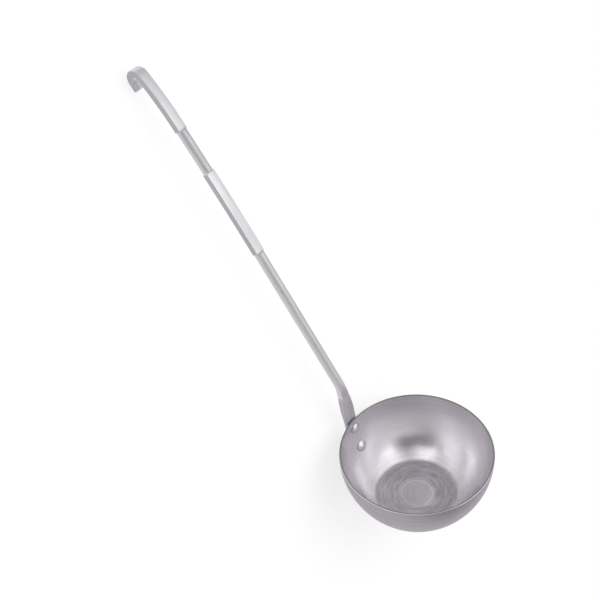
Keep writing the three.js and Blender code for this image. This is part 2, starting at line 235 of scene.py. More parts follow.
# %% Spun aluminium: the outside and the rim
OUTSIDE = "outside"  # 1 on the outside of the bowl, 0 inside
RIM_SHADE = "rim_shade_mark"  # 1 where the cut edge takes painted shade, all but its outer corner
OUTSIDE_PAINTED_SHADE = "aca6ad"  # painted shade: the outside's colour, darkened for the darker surroundings that it mirrors
OUTSIDE_SHADE_BANDS = "a59fa6"  # the same painted shade, with its faint turning bands
# painted shade: the dark line along the rim's cut
RIM_PAINTED_SHADE = "949196"

outside = add_node(tree, "ShaderNodeAttribute", attribute_name=OUTSIDE)
# painted shade over the whole outside, varied by the faint turning bands
outside_shaded_colour = add_node(tree, "ShaderNodeMix", {
    "Factor": shade.outputs[0],
    COLOUR_A: linear(OUTSIDE_PAINTED_SHADE), COLOUR_B: linear(OUTSIDE_SHADE_BANDS)}, data_type="RGBA")
both_sides = add_node(tree, "ShaderNodeMix", {
    "Factor": outside.outputs["Fac"], COLOUR_A: floor_shaded_colour.outputs[MIXED_COLOUR],
    COLOUR_B: outside_shaded_colour.outputs[MIXED_COLOUR]}, data_type="RGBA")
# the cut takes painted shade
rim_shade_mark = add_node(tree, "ShaderNodeAttribute", attribute_name=RIM_SHADE)
colour = add_node(tree, "ShaderNodeMix", {
    "Factor": rim_shade_mark.outputs["Fac"],
    COLOUR_A: both_sides.outputs[MIXED_COLOUR], COLOUR_B: linear(RIM_PAINTED_SHADE)}, data_type="RGBA")
print("with the outside and the rim:", len(tree.nodes), "nodes")

# %% Spun aluminium: polish and surface
POLISH_TOP_MM = -30.0  # below this height the wall is polished, above it is satin
POLISH_FADE_MM = 6.0
POLISHED = 0.20  # roughness of the lower wall
SATIN = 0.31  # of the upper wall
OUTSIDE_DULL = 0.46  # and of the outside, which is never polished
FLOOR_DULLER = 0.18  # how much rougher the rings make the floor
CLOUD_POLISH = 0.03  # how far the clouds change the roughness, up and down
NOISE_LOW, NOISE_HIGH = 0.3, 0.7  # nearly all of a noise lies between these
RING_BUMP = 0.10
RING_DEEP_MM = 0.05

wall_polish = add_node(tree, "ShaderNodeMapRange", {
    "Value": height.outputs["Z"], "From Min": POLISH_TOP_MM - POLISH_FADE_MM,
    "From Max": POLISH_TOP_MM + POLISH_FADE_MM, "To Min": POLISHED, "To Max": SATIN,
}, interpolation_type="SMOOTHSTEP")
cloudy = add_node(tree, "ShaderNodeMapRange", {
    "Value": clouds.outputs[0], "From Min": NOISE_LOW, "From Max": NOISE_HIGH,
    "To Min": -CLOUD_POLISH, "To Max": CLOUD_POLISH})
wiped = add_node(tree, "ShaderNodeMath", {
    0: wall_polish.outputs[0], 1: cloudy.outputs[0]}, operation="ADD")
polish = add_node(tree, "ShaderNodeMath", {
    0: ring_strength.outputs[0], 1: FLOOR_DULLER, 2: wiped.outputs[0],
}, operation="MULTIPLY_ADD")
marks = add_node(tree, "ShaderNodeMath", {
    0: fine_rings.outputs[0], 1: broad_rings.outputs[0]}, operation="ADD")
ring_height = add_node(tree, "ShaderNodeMath", {
    0: marks.outputs[0], 1: turned.outputs[0]}, operation="MULTIPLY")
relief = add_node(tree, "ShaderNodeBump", {
    "Height": ring_height.outputs[0], "Strength": RING_BUMP, "Distance": RING_DEEP_MM * MM})
side_polish = add_node(tree, "ShaderNodeMix", {
    "Factor": outside.outputs["Fac"], NUMBER_A: polish.outputs[0], NUMBER_B: OUTSIDE_DULL,
}, data_type="FLOAT")
metal = add_node(tree, "ShaderNodeBsdfPrincipled", {
    "Base Color": colour.outputs[MIXED_COLOUR], "Metallic": 1.0,
    "Roughness": side_polish.outputs[0], "Normal": relief.outputs[0]})
add_node(tree, "ShaderNodeOutputMaterial", {"Surface": metal.outputs[0]})
print("bowl finish:", len(tree.nodes), "nodes")

# %% [markdown]
# ## Drawn aluminium, the handle
# Rod is pulled through a die, and later polished by hand along its length, so its scratches run
# lengthwise, also round the bends. A later cell notes on every point where it would lie on the
# straight bar, before any bending. Noise that is stretched along that bar gives scratches that
# bend with the metal. Where the pressed metal looks sideways it is darkened with painted shade,
# so front and back read brighter than the sides. The die also burnishes the flats, so what is
# still round rod is duller and darker than they are.

# %% Drawn aluminium: colour
BAR_PLACE = "bar_place"  # millimetres along, across and through the straight bar
SIDEWAYS = "sideways"  # how far a pressed surface looks sideways, 0 to 1
AS_DRAWN = "as_drawn"  # 1 where the bar is still round rod, 0 where it was pressed
SCRATCH_LONG_MM = 30.0
SCRATCH_WIDE_MM = 0.5  # true scratches are near 0.1 mm, drawn wider so that they show
SCRATCH_DARK, SCRATCH_LIGHT = 0.3, 0.6  # the noise, from dark scratches to clean metal
SIDE_FROM, SIDE_FULL = 0.60, 0.95  # how far a surface looks sideways, from no painted shade to full painted shade
DRAWN_COLOUR = "e5e3e6"
DRAWN_SHADE = "d5d3d6"
# painted shade: the colour of the pressed metal's sides
SIDE_PAINTED_SHADE = "b3b1b5"
ROD_TINT = "f1f0f1"  # the round rod, times the drawn colour

drawn_aluminium, tree = new_finish("drawn_aluminium_rod")
bar_place = add_node(tree, "ShaderNodeAttribute", attribute_name=BAR_PLACE)
stretched = add_node(tree, "ShaderNodeMapping", {
    "Vector": bar_place.outputs["Vector"],
    "Scale": (1 / SCRATCH_LONG_MM, 1 / SCRATCH_WIDE_MM, 1 / SCRATCH_WIDE_MM)})
scratches = add_node(tree, "ShaderNodeTexNoise", {
    "Vector": stretched.outputs[0], "Scale": 1.0, "Detail": 3.0})
shade = add_node(tree, "ShaderNodeMapRange", {
    "Value": scratches.outputs[0], "From Min": SCRATCH_DARK, "From Max": SCRATCH_LIGHT})
polished = add_node(tree, "ShaderNodeMix", {
    "Factor": shade.outputs[0],
    COLOUR_A: linear(DRAWN_SHADE), COLOUR_B: linear(DRAWN_COLOUR)}, data_type="RGBA")
as_drawn = add_node(tree, "ShaderNodeAttribute", attribute_name=AS_DRAWN)
rod_colour = add_node(tree, "ShaderNodeMix", {
    "Factor": as_drawn.outputs["Fac"],
    COLOUR_A: polished.outputs[MIXED_COLOUR], COLOUR_B: linear(ROD_TINT),
}, data_type="RGBA", blend_type="MULTIPLY")
sideways = add_node(tree, "ShaderNodeAttribute", attribute_name=SIDEWAYS)
# painted shade on the sides, by how far a face looks sideways
side_shade_share = add_node(tree, "ShaderNodeMapRange", {
    "Value": sideways.outputs["Fac"], "From Min": SIDE_FROM, "From Max": SIDE_FULL,
}, interpolation_type="SMOOTHSTEP")
colour = add_node(tree, "ShaderNodeMix", {
    "Factor": side_shade_share.outputs[0],
    COLOUR_A: rod_colour.outputs[MIXED_COLOUR], COLOUR_B: linear(SIDE_PAINTED_SHADE)}, data_type="RGBA")
print("handle colour:", len(tree.nodes), "nodes")

# %% Drawn aluminium: polish and surface
HAND_MM = 25.0  # slow changes of polish along the bar
HAND_SMOOTH, HAND_DULL = 0.40, 0.50  # roughness, where hands polished it more and less
ROD_DULLER = 0.04  # roughness that the round rod has more
SCRATCH_BUMP = 0.10
SCRATCH_DEEP_MM = 0.05

handled = add_node(tree, "ShaderNodeTexNoise", {
    "Vector": bar_place.outputs["Vector"], "Scale": 1 / HAND_MM, "Detail": 2.0})
polish = add_node(tree, "ShaderNodeMapRange", {
    "Value": handled.outputs[0], "From Min": NOISE_LOW, "From Max": NOISE_HIGH,
    "To Min": HAND_SMOOTH, "To Max": HAND_DULL})
rod_polish = add_node(tree, "ShaderNodeMath", {
    0: as_drawn.outputs["Fac"], 1: ROD_DULLER, 2: polish.outputs[0]}, operation="MULTIPLY_ADD")
relief = add_node(tree, "ShaderNodeBump", {
    "Height": scratches.outputs[0], "Strength": SCRATCH_BUMP, "Distance": SCRATCH_DEEP_MM * MM})
metal = add_node(tree, "ShaderNodeBsdfPrincipled", {
    "Base Color": colour.outputs[MIXED_COLOUR], "Metallic": 1.0,
    "Roughness": rod_polish.outputs[0], "Normal": relief.outputs[0]})
add_node(tree, "ShaderNodeOutputMaterial", {"Surface": metal.outputs[0]})
print("handle finish:", len(tree.nodes), "nodes")

# %% [markdown]
# ## Hammered aluminium, the rivets
# A rivet is set with a cupped tool, which leaves its head smoother and brighter than the bowl,
# with a few soft dents. One noise is enough: it dents the relief, and colour and polish change
# with it.

# %% Hammered aluminium
DENT_MM = 2.4
DENT_BUMP = 0.15
DENT_DEEP_MM = 0.15
RIVET_COLOUR = "f6f4f7"
RIVET_SHADE = "e8e6e9"
RIVET_SMOOTH, RIVET_DULL = 0.32, 0.42  # roughness

hammered_aluminium, tree = new_finish("hammered_aluminium_rivet")
coords = add_node(tree, "ShaderNodeTexCoord")
dents = add_node(tree, "ShaderNodeTexNoise", {
    "Vector": coords.outputs["Object"], "Scale": 1 / (DENT_MM * MM), "Detail": 2.0})
colour = add_node(tree, "ShaderNodeMix", {
    "Factor": dents.outputs[0],
    COLOUR_A: linear(RIVET_SHADE), COLOUR_B: linear(RIVET_COLOUR)}, data_type="RGBA")
polish = add_node(tree, "ShaderNodeMapRange", {
    "Value": dents.outputs[0], "From Min": NOISE_LOW, "From Max": NOISE_HIGH,
    "To Min": RIVET_SMOOTH, "To Max": RIVET_DULL})
relief = add_node(tree, "ShaderNodeBump", {
    "Height": dents.outputs[0], "Strength": DENT_BUMP, "Distance": DENT_DEEP_MM * MM})
metal = add_node(tree, "ShaderNodeBsdfPrincipled", {
    "Base Color": colour.outputs[MIXED_COLOUR], "Metallic": 1.0,
    "Roughness": polish.outputs[0], "Normal": relief.outputs[0]})
add_node(tree, "ShaderNodeOutputMaterial", {"Surface": metal.outputs[0]})
print("rivet finish:", len(tree.nodes), "nodes")

# %% [markdown]
# ## Drawing a turned profile
# The bowl and the rivets are turned on a lathe, so each needs only half an outline. The outline
# is drawn with one point that moves: straight to a place, or swung about a centre, which leaves
# an arc of edges behind it. Spinning the finished outline once round makes the solid.

# %% Moving a point, and turning an outline
WELD_MM = 0.0005


def straight(bm, point, x, z):
    """Extrude the point to a place in the xz plane."""
    far = bmesh.ops.extrude_vert_indiv(bm, verts=[point])["verts"]
    bmesh.ops.translate(bm, verts=far, vec=Vector((x, 0.0, z)) - point.co)
    return far[0]


def swing(bm, point, x, z, angle, steps):
    """Swing the point about a centre in the xz plane. A positive angle turns x towards -z."""
    made = bmesh.ops.spin(
        bm, geom=[point], cent=(x, 0.0, z), axis=(0.0, 1.0, 0.0), dvec=(0.0, 0.0, 0.0),
        angle=angle, steps=steps, use_merge=False, use_duplicate=False)
    return next(item for item in made["geom_last"] if isinstance(item, bmesh.types.BMVert))


def turn_outline(bm, steps):
    """Spin the outline once round the z axis and close its poles."""
    bmesh.ops.spin(
        bm, geom=bm.verts[:] + bm.edges[:], cent=(0.0, 0.0, 0.0), axis=(0.0, 0.0, 1.0),
        dvec=(0.0, 0.0, 0.0), angle=2 * math.pi, steps=steps, use_merge=True,
        use_duplicate=False)
    bmesh.ops.remove_doubles(bm, verts=bm.verts[:], dist=WELD_MM)
    bmesh.ops.recalc_face_normals(bm, faces=bm.faces[:])


def to_object(bm, name):
    """A drawn piece in millimetres becomes an object that lies on the table."""
    bmesh.ops.transform(bm, matrix=ON_TABLE, verts=bm.verts[:])
    mesh = bpy.data.meshes.new(name)
    bm.to_mesh(mesh)
    bm.free()
    made = bpy.data.objects.new(name, mesh)
    bpy.context.scene.collection.objects.link(made)
    return made


print("points closer than", WELD_MM, "mm are welded")

# %% [markdown]
# ## The bowl
# One arc makes the wall. Its centre is level with the rim, so it leaves the rim upright, and it
# runs down to a flat floor, with a small round corner between. The sheet has the same thickness
# everywhere, so the outside swings about the same centres. The rim is cut off flat and its
# corners are only broken. A round mark stays in the floor where the pad held the sheet on the
# chuck.

# %% The bowl
RIM_DIAMETER = 120.0
RIM_EDGE = 0.4
FLOOR_DIAMETER = 65.0  # where wall and floor would meet without the corner
FLOOR_FILLET = 5.0
MARK_DEPTH = 0.3
MARK_SLOPE = 0.8
BOWL_STEPS = 192
WALL_STEPS = 48
FILLET_STEPS = 10
RIM_STEPS = 5
FLOOR_RINGS = 6

rim_inside = RIM_DIAMETER / 2 - SHEET
wall_inset = rim_inside - FLOOR_DIAMETER / 2
wall_radius = (wall_inset ** 2 + BOWL_DEPTH ** 2) / (2 * wall_inset)
wall_x = rim_inside - wall_radius
fillet_z = -BOWL_DEPTH + FLOOR_FILLET
fillet_x = wall_x + math.sqrt((wall_radius - FLOOR_FILLET) ** 2 - fillet_z ** 2)
wall_drop = math.atan2(-fillet_z, fillet_x - wall_x)
fillet_turn = math.pi / 2 - wall_drop
floor_start = mark_radius + MARK_SLOPE

bm = bmesh.new()
pen = bm.verts.new((0.0, 0.0, -BOWL_DEPTH - MARK_DEPTH))
pen = straight(bm, pen, mark_radius, -BOWL_DEPTH - MARK_DEPTH)
pen = straight(bm, pen, floor_start, -BOWL_DEPTH)
for ring in range(FLOOR_RINGS):
    share = (ring + 1) / FLOOR_RINGS
    pen = straight(bm, pen, floor_start + (fillet_x - floor_start) * share, -BOWL_DEPTH)
pen = swing(bm, pen, fillet_x, fillet_z, -fillet_turn, FILLET_STEPS)
pen = swing(bm, pen, wall_x, 0.0, -wall_drop, WALL_STEPS)
pen = swing(bm, pen, rim_inside + RIM_EDGE, 0.0, math.pi / 2, RIM_STEPS)
pen = straight(bm, pen, rim_inside + SHEET - RIM_EDGE, RIM_EDGE)
pen = swing(bm, pen, rim_inside + SHEET - RIM_EDGE, 0.0, math.pi / 2, RIM_STEPS)
pen = swing(bm, pen, wall_x, 0.0, wall_drop, WALL_STEPS)
pen = swing(bm, pen, fillet_x, fillet_z, fillet_turn, FILLET_STEPS)
straight(bm, pen, 0.0, -BOWL_DEPTH - SHEET)
turn_outline(bm, BOWL_STEPS)
print("bowl:", len(bm.faces), "faces, wall radius", round(wall_radius, 2), "mm")
bowl = to_object(bm, "bowl_spun")

# %% [markdown]
# ## The way of the handle
# The handle is one bar. Seen from the side it lies on the bowl, runs straight up past the rim,
# bends back at the neck, and then runs on with a slight bow to the hook. That side view is a
# row of straight runs and arcs, so a length and a turn for each is all that has to be known.

# %% The handle's centre line
TANG_THICKNESS = 3.2
TANG_MARGIN = 9.0  # from the lower rivet to the tang's end
SEAT_GAP = 0.3
RIVET_FROM_RIM = 8.2
RIVET_PITCH = 19.0
TANG_UPRIGHT = 28.0
NECK_RADIUS = 45.0
HANDLE_LEAN = math.radians(58.0)
LOWER_ROUND = 124.0
GRIP_FLAT = 70.0
GRIP_BOW = math.radians(2.3)
UPPER_ROUND = 36.7
HOOK_FLAT = 46.7
HOOK_BOW = math.radians(9.4)
HOOK_RADIUS = 5.6
HOOK_TIP = 7.0

tang_middle = wall_radius + SHEET + SEAT_GAP + TANG_THICKNESS / 2
tang_outside = tang_middle + TANG_THICKNESS / 2
upper_angle = RIVET_FROM_RIM / wall_radius
lower_angle = (RIVET_FROM_RIM + RIVET_PITCH) / wall_radius
end_angle = lower_angle + TANG_MARGIN / wall_radius
seat_turn = end_angle - upper_angle
neck_turn = math.pi / 2 - upper_angle - HANDLE_LEAN
hook_turn = math.pi - HOOK_BOW

RUNS = {
    # length in millimetres and turn in radians
    "seat": (tang_middle * seat_turn, seat_turn),
    "upright": (TANG_UPRIGHT, 0.0),
    "neck": (NECK_RADIUS * neck_turn, -neck_turn),
    "lower": (LOWER_ROUND, 0.0),
    "grip": (GRIP_FLAT, -GRIP_BOW),
    "upper": (UPPER_ROUND, 0.0),
    "flat": (HOOK_FLAT, -HOOK_BOW),
    "hook": (HOOK_RADIUS * hook_turn, -hook_turn),
    "tip": (HOOK_TIP, 0.0),
}
starts = {}
bar_length = 0.0
for run, (length, turn) in RUNS.items():
    starts[run] = bar_length
    bar_length += length
print("bar length:", round(bar_length, 1), "mm")


# %% The bar's axes at any distance
def bar_frame(distance):
    """The axes of a section: across the bar, to its front, and along it."""
    x = wall_x + tang_middle * math.cos(end_angle)
    z = -tang_middle * math.sin(end_angle)
    heading = math.pi / 2 - end_angle
    left = distance
    for length, turn in RUNS.values():
        step = min(left, length)
        part = turn * step / length
        chord = 2 * step / part * math.sin(part / 2) if part else step
        x += chord * math.cos(heading + part / 2)
        z += chord * math.sin(heading + part / 2)
        heading += part
        left -= step
    along = Vector((math.cos(heading), 0.0, math.sin(heading)))
    front = Vector((-math.sin(heading), 0.0, math.cos(heading)))
    axes = Matrix((across_axis, front, along)).transposed()
    return Matrix.Translation((x, 0.0, z)) @ axes.to_4x4()


tip_place = ON_TABLE @ bar_frame(bar_length).translation
print("tip of the hook on the table:", [round(value, 4) for value in tip_place])

# %% [markdown]
# ## Pressing the bar
# The bar starts as round rod. Its lower end is pressed flat into the tang, from the front only,
# so that the back of the shoulder stays in line with the rod. Two stretches are pressed into
# flats, with a short step at each end. Every section is a rectangle with round corners, and a
# circle is only the case where the corners meet. So the bar is extruded section by section, and
# each of the four corners is scaled and moved to its new place on the way.

# %% Sections of the bar
ROD_DIAMETER = 8.0
FLAT_WIDTH = 8.5
FLAT_THICKNESS = 5.2
FLAT_CORNER = 0.7
TANG_WIDTH = 12.0
TANG_CORNER = 0.7
SHOULDER_WIDTH = 9.8
SHOULDER_THICKNESS = 5.6

CORNER, MIDDLE = 2, 3  # a section is width, thickness, corner radius and middle's way forward
pressed_middle = (SHOULDER_THICKNESS - ROD_DIAMETER) / 2
ROUND = (ROD_DIAMETER, ROD_DIAMETER, ROD_DIAMETER / 2, 0.0)
FLAT = (FLAT_WIDTH, FLAT_THICKNESS, FLAT_CORNER, 0.0)
TANG = (TANG_WIDTH, TANG_THICKNESS, TANG_CORNER, 0.0)
SHOULDER = (SHOULDER_WIDTH, SHOULDER_THICKNESS, TANG_CORNER, pressed_middle)
RAMP = (ROD_DIAMETER, SHOULDER_THICKNESS, TANG_CORNER, pressed_middle)

stations = []


def put(distance, section):
    """Note a section, with corners that are no rounder than it allows."""
    width, thickness, corner, middle = section
    stations.append((distance, (width, thickness, min(corner, width / 2, thickness / 2), middle)))


def eased(share):
    """Slow at both ends, as pressed metal flows."""
    share = min(1.0, max(0.0, share))
    return share * share * (3 - 2 * share)


def change(start, end, before, after, parts):
    """Blend one section into the next."""
    for part in range(parts + 1):
        share = part / parts
        section = [a + (b - a) * eased(share) for a, b in zip(before, after)]
        put(start + (end - start) * share, section)


def run_on(start, end, section, longest):
    """Carry one section along, in steps that are short enough for the bends."""
    parts = max(1, math.ceil((end - start) / longest))
    for part in range(1, parts):
        put(start + (end - start) * part / parts, section)


print("the shoulder's middle lies", round(-pressed_middle, 2), "mm back")

# %% Stations from the tang's end to the tip of the hook
FLAT_STEP = 1.2
TANG_LENGTH = 31.0  # from the upper rivet to the shoulder
TANG_TAPER = 12.0
SHOULDER_STEP = 2.4  # the CAD model's 1.2, softened as pressed metal is
SHOULDER_RAMP = 15.0
TIP_ROUND = 0.6
STEP_PARTS = 5
RAMP_PARTS = 10
END_PARTS = 12
CLEAR = 0.1  # keeps a section off the one before it
SEAT_EVERY = 2.5  # longest way between sections: on the bowl,
BEND_EVERY = 2.0  # in gentle bends,
HOOK_EVERY = 0.6  # in the hook,
BOW_EVERY = 5.0  # along the slight bow of the grip
ROD_EVERY = 8.0  # and along straight rod

end_radius = TANG_WIDTH / 2
for part in range(1, END_PARTS + 1):
    angle = math.pi / 2 * part / END_PARTS
    reach = end_radius * (1 - math.cos(angle))
    rounding = max(0.0, TANG_CORNER - reach)
    thin = TANG_CORNER - math.sqrt(TANG_CORNER ** 2 - rounding ** 2)
    put(reach, (TANG_WIDTH * math.sin(angle), TANG_THICKNESS - 2 * thin, TANG_CORNER, 0.0))
rim_at = starts["upright"] + RIVET_FROM_RIM
shoulder_at = starts["upright"] + TANG_LENGTH
step_end = shoulder_at + SHOULDER_STEP
ramp_end = shoulder_at + SHOULDER_RAMP
run_on(end_radius, rim_at, TANG, SEAT_EVERY)
for part in range(RAMP_PARTS + 1):
    share = part / RAMP_PARTS
    distance = rim_at + (shoulder_at - rim_at) * share
    narrowed = eased((distance - shoulder_at + TANG_TAPER) / TANG_TAPER)
    width = TANG_WIDTH + (SHOULDER_WIDTH - TANG_WIDTH) * narrowed
    thickness = TANG_THICKNESS + (SHOULDER_THICKNESS - TANG_THICKNESS) * share
    put(distance, (width, thickness, TANG_CORNER, pressed_middle * share))
change(shoulder_at + CLEAR, step_end, SHOULDER, RAMP, STEP_PARTS)
change(step_end + CLEAR, ramp_end, RAMP, ROUND, RAMP_PARTS)
run_on(ramp_end, starts["lower"], ROUND, BEND_EVERY)
run_on(starts["lower"], starts["grip"] - FLAT_STEP, ROUND, ROD_EVERY)
change(starts["grip"] - FLAT_STEP, starts["grip"], ROUND, FLAT, STEP_PARTS)
run_on(starts["grip"], starts["upper"], FLAT, BOW_EVERY)
change(starts["upper"], starts["upper"] + FLAT_STEP, FLAT, ROUND, STEP_PARTS)
run_on(starts["upper"] + FLAT_STEP, starts["flat"] - FLAT_STEP, ROUND, ROD_EVERY)
change(starts["flat"] - FLAT_STEP, starts["flat"], ROUND, FLAT, STEP_PARTS)
run_on(starts["flat"], starts["hook"], FLAT, BEND_EVERY)
run_on(starts["hook"], starts["tip"], FLAT, HOOK_EVERY)
run_on(starts["tip"], bar_length - TIP_ROUND, FLAT, BEND_EVERY)
for part in range(END_PARTS):
    reach = TIP_ROUND * part / END_PARTS
    thin = TIP_ROUND - math.sqrt(TIP_ROUND ** 2 - reach ** 2)
    section = (FLAT_WIDTH - 2 * thin, FLAT_THICKNESS - 2 * thin, FLAT_CORNER, 0.0)
    put(bar_length - TIP_ROUND + reach, section)
stations.sort(key=lambda station: station[0])
print("stations:", len(stations))


# %% The four corners of a section
def corner_place(section, quarter):
    """The centre of one corner's arc, in the section's own plane."""
    width, thickness, corner, middle = section
    side = 1 if quarter in (0, 3) else -1
    front = 1 if quarter in (0, 1) else -1
    return Vector((side * (width / 2 - corner), middle + front * (thickness / 2 - corner), 0.0))


def quarter_of(place, middle):
    """Which of the four corners a point of the section belongs to."""
    if place.y > middle:
        return 0 if place.x > 0 else 1
    return 3 if place.x > 0 else 2


def by_corner(points, to_section, middle):
    """The points of a section, sorted by the corner that they belong to."""
    corners = {quarter: [] for quarter in range(4)}
    for point in points:
        corners[quarter_of(to_section @ point.co, middle)].append(point)
    return corners


print("first corner of the flats:", [round(value, 2) for value in corner_place(FLAT, 0)])

# %% Extrude the bar
CORNER_POINTS = 8
UNIT_CIRCLE = (2.0, 2.0, 1.0, 0.0)  # the section that all others are pressed from

bm = bmesh.new()
ring_points = 4 * CORNER_POINTS
circle = bmesh.ops.create_circle(bm, segments=ring_points, radius=1.0, cap_ends=False)
half_step = Matrix.Rotation(math.pi / ring_points, 3, "Z")
bmesh.ops.rotate(bm, verts=circle["verts"], cent=(0.0, 0.0, 0.0), matrix=half_step)
edges = bm.edges[:]
bmesh.ops.contextual_create(bm, geom=edges)
section_before = UNIT_CIRCLE
frame_before = Matrix.Identity(4)
corners = by_corner(circle["verts"], frame_before, section_before[MIDDLE])

for index, (distance, section) in enumerate(stations):
    if index:
        grown = bmesh.ops.extrude_edge_only(bm, edges=edges)["geom"]
        points = [item for item in grown if isinstance(item, bmesh.types.BMVert)]
        ring = set(points)
        edges = [item for item in grown
                 if isinstance(item, bmesh.types.BMEdge) and ring.issuperset(item.verts)]
        corners = by_corner(points, frame_before.inverted(), section_before[MIDDLE])
    frame_now = bar_frame(distance)
    for quarter, points in corners.items():
        scaled = Matrix.Scale(section[CORNER] / section_before[CORNER], 4)
        press = (Matrix.Translation(corner_place(section, quarter)) @ scaled
                 @ Matrix.Translation(-corner_place(section_before, quarter)))
        bmesh.ops.transform(
            bm, matrix=frame_now @ press @ frame_before.inverted(), verts=points)
    section_before = section
    frame_before = frame_now
bmesh.ops.contextual_create(bm, geom=edges)
bmesh.ops.recalc_face_normals(bm, faces=bm.faces[:])
print("handle:", len(bm.faces), "faces")
handle = to_object(bm, "handle_bar")

# %% [markdown]
# ## The rivets
# Each rivet is a short pin with a domed head inside the bowl. Its tail is hammered flat into a
# countersink in the back of the tang, so that the ladle lies flat. The head's underside follows
# the wall.

# %% The rivets
RIVET_SHANK = 5.0
RIVET_HEAD_DIAMETER = 9.0
RIVET_HEAD_HEIGHT = 2.2
RIVET_HEAD_EDGE = 0.4
RIVET_TAIL_DIAMETER = 8.5
RIVET_TAIL_RECESS = 0.2
RIVET_STEPS = 64
DOME_STEPS = 14
SEAT_STEPS = 3


def rivet_frame(angle):
    """From the rivet's own axis, through the wall's centre, to the bowl's axes."""
    return Matrix.Translation((wall_x, 0.0, 0.0)) @ Matrix.Rotation(angle - math.pi / 2, 4, "Y")


def rivet(angle, name):
    """A rivet, turned about z with its head upwards, then tipped into the wall."""
    shank = RIVET_SHANK / 2
    head = RIVET_HEAD_DIAMETER / 2
    tail = RIVET_TAIL_DIAMETER / 2
    seat = wall_radius - SEAT_GAP
    head_seat = -math.sqrt(seat ** 2 - head ** 2)
    dome_height = RIVET_HEAD_HEIGHT - RIVET_HEAD_EDGE
    dome_radius = (head ** 2 + dome_height ** 2) / (2 * dome_height)
    dome_z = head_seat + RIVET_HEAD_EDGE + dome_height - dome_radius
    dome_turn = math.asin(head / dome_radius)
    tail_z = -(tang_outside - RIVET_TAIL_RECESS)
    bm = bmesh.new()
    pen = bm.verts.new((0.0, 0.0, tail_z))
    pen = straight(bm, pen, tail, tail_z)
    pen = straight(bm, pen, shank, tail_z + tail - shank)
    pen = straight(bm, pen, shank, -math.sqrt(seat ** 2 - shank ** 2))
    under = math.asin(head / seat) - math.asin(shank / seat)
    pen = swing(bm, pen, 0.0, 0.0, -under, SEAT_STEPS)
    pen = straight(bm, pen, head, head_seat + RIVET_HEAD_EDGE)
    swing(bm, pen, 0.0, dome_z, -dome_turn, DOME_STEPS)
    turn_outline(bm, RIVET_STEPS)
    bmesh.ops.transform(bm, matrix=rivet_frame(angle), verts=bm.verts[:])
    return to_object(bm, name)


RIVETS = {"rivet_upper": upper_angle, "rivet_lower": lower_angle}
rivets = {node: rivet(angle, node + "_set") for node, angle in RIVETS.items()}
print("rivets:", sorted(rivets))

# %% [markdown]
# ## Drilling
# Wall and tang are drilled together. A Boolean modifier cuts each hole, and its result is kept as
# the piece's own mesh, so nothing is left to be worked out later.

# %% Drill wall and tang
HOLE_GAP = 0.3
CUT_PAST = 2.0


def rivet_drill(angle):
    """The hole for a rivet: straight through, with a countersink at the tang's outside."""
    hole = RIVET_SHANK / 2 + HOLE_GAP
    mouth = RIVET_TAIL_DIAMETER / 2 + HOLE_GAP + RIVET_TAIL_RECESS + CUT_PAST
    outer = -(tang_outside + CUT_PAST)
    inner = -(wall_radius - CUT_PAST)
    bm = bmesh.new()
    pen = bm.verts.new((0.0, 0.0, outer))
    pen = straight(bm, pen, mouth, outer)
    pen = straight(bm, pen, hole, outer + mouth - hole)
    pen = straight(bm, pen, hole, inner)
    straight(bm, pen, 0.0, inner)
    turn_outline(bm, RIVET_STEPS)
    bmesh.ops.transform(bm, matrix=rivet_frame(angle), verts=bm.verts[:])
    return to_object(bm, "drill")


def drilled(piece):
    """Cut both rivet holes out of a piece and keep the result."""
    drills = [rivet_drill(angle) for angle in RIVETS.values()]
    for drill in drills:
        cut = piece.modifiers.new("rivet_hole", "BOOLEAN")
        cut.operation = "DIFFERENCE"
        cut.solver = "EXACT"
        cut.object = drill
    graph = bpy.context.evaluated_depsgraph_get()
    kept = bpy.data.meshes.new_from_object(piece.evaluated_get(graph))
    piece.modifiers.clear()
    piece.data = kept
    for drill in drills:
        bpy.data.objects.remove(drill)
    print(piece.name, "drilled:", len(kept.polygons), "faces")


drilled(bowl)
drilled(handle)

# %% [markdown]
# ## Inside and outside of the bowl
# A face of the bowl is outside where it looks away from the middle of the bowl, and the faces
# above the rim plane are the cut edge of the sheet. The cut takes a painted shade that draws the
# rim's dark line, all but its outer corner, which keeps the bright spun colour. That is noted on
# the faces, so that one finish can be bright inside, darker outside with painted shade and dark
# on the cut with painted shade.

# %% Mark the outside of the bowl and its cut edge
OUTER_CORNER_FACING = 0.25  # how far a face of the cut looks outwards to count as its outer corner, which gets no painted shade


def above_rim(face):
    """Whether a face belongs to the cut edge."""
    return (face.center - rim_centre).dot(bowl_axis) > 0


def looks_outwards(face):
    """How far a face looks away from the bowl's axis."""
    from_centre = face.center - rim_centre
    from_axis = from_centre - bowl_axis * from_centre.dot(bowl_axis)
    return face.normal.dot(from_axis.normalized())


bowl_middle = ON_TABLE @ Vector((0.0, 0.0, -BOWL_DEPTH / 2))
outside_marks = bowl.data.attributes.new(OUTSIDE, "FLOAT", "FACE")
for face in bowl.data.polygons:
    looks_away = (face.center - bowl_middle).dot(face.normal) > 0
    outside_marks.data[face.index].value = 1.0 if looks_away and not above_rim(face) else 0.0
print("outside faces:", sum(mark.value > 0 for mark in outside_marks.data))
# painted shade on the cut, apart from its outer corner
rim_shade_marks = bowl.data.attributes.new(RIM_SHADE, "FLOAT", "FACE")
for face in bowl.data.polygons:
    painted_rim = above_rim(face) and looks_outwards(face) < OUTER_CORNER_FACING
    rim_shade_marks.data[face.index].value = 1.0 if painted_rim else 0.0
print("cut faces:", sum(mark.value > 0 for mark in rim_shade_marks.data))

